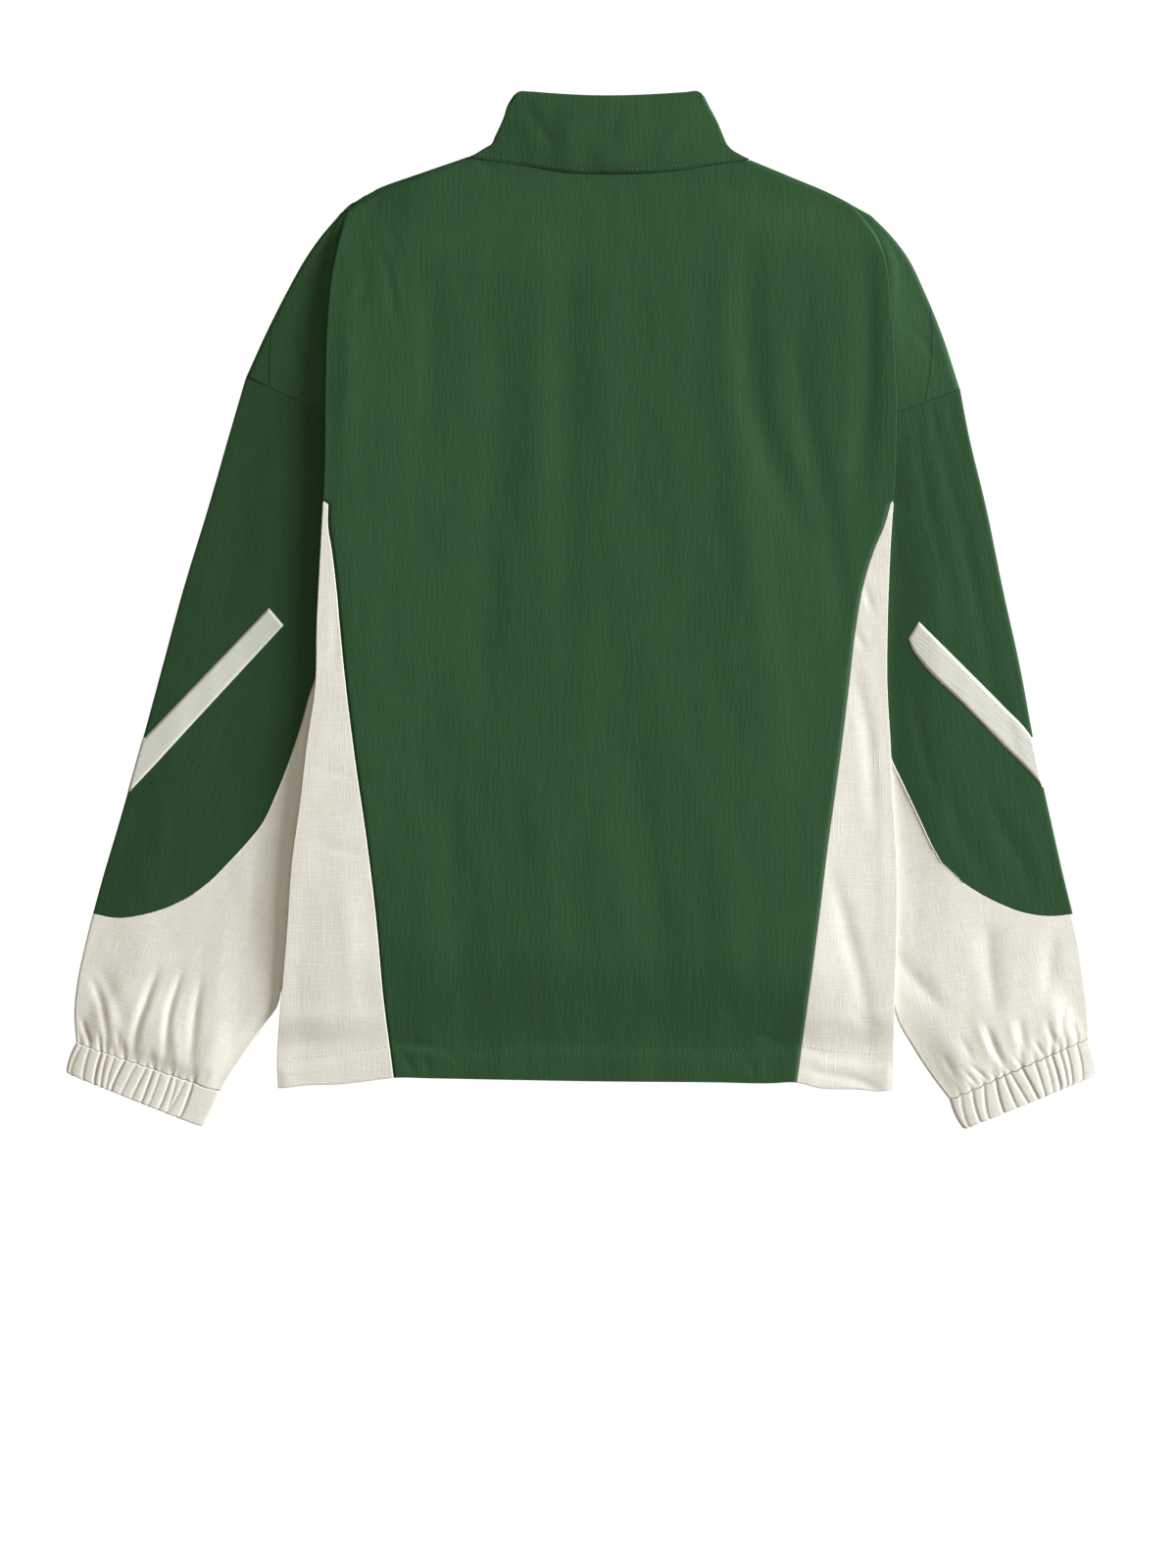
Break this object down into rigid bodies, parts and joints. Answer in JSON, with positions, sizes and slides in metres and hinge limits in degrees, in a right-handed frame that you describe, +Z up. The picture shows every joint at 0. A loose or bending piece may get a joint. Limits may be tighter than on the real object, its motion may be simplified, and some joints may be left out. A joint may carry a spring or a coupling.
{
  "type": "track top",
  "caption": "Loose woven track top with stand collar, contrast side and lower sleeve panels and elastic cuffs, laid flat with its back up.",
  "frame": {"origin": "on the surface the garment lies on, under the middle of its outline", "axes": "+Z up out of the surface, through front and back; +Y towards the collar; +X to the right as seen from above, which is the wearer's right side"},
  "size_m": [0.7789, 0.7856, 0.0075],
  "materials": {
    "green_cloth": "crinkled dark green woven cloth with a soft sheen",
    "cream_cloth": "matt cream slub weave",
    "tape": "matt pale coarse woven tape",
    "zip": "satin plastic coil on woven tape"
  },
  "bodies": {
    "root": {"back": "green_cloth", "front": "green_cloth", "collar": "green_cloth", "zip": "zip", "side_left": "cream_cloth", "sleeve_left": "green_cloth", "sleeve_lower_left": "cream_cloth", "cuff_left": "cream_cloth", "stripe_left": "tape", "side_right": "cream_cloth", "sleeve_right": "green_cloth", "sleeve_lower_right": "cream_cloth", "cuff_right": "cream_cloth", "stripe_right": "tape"}
  },
  "joints": []
}
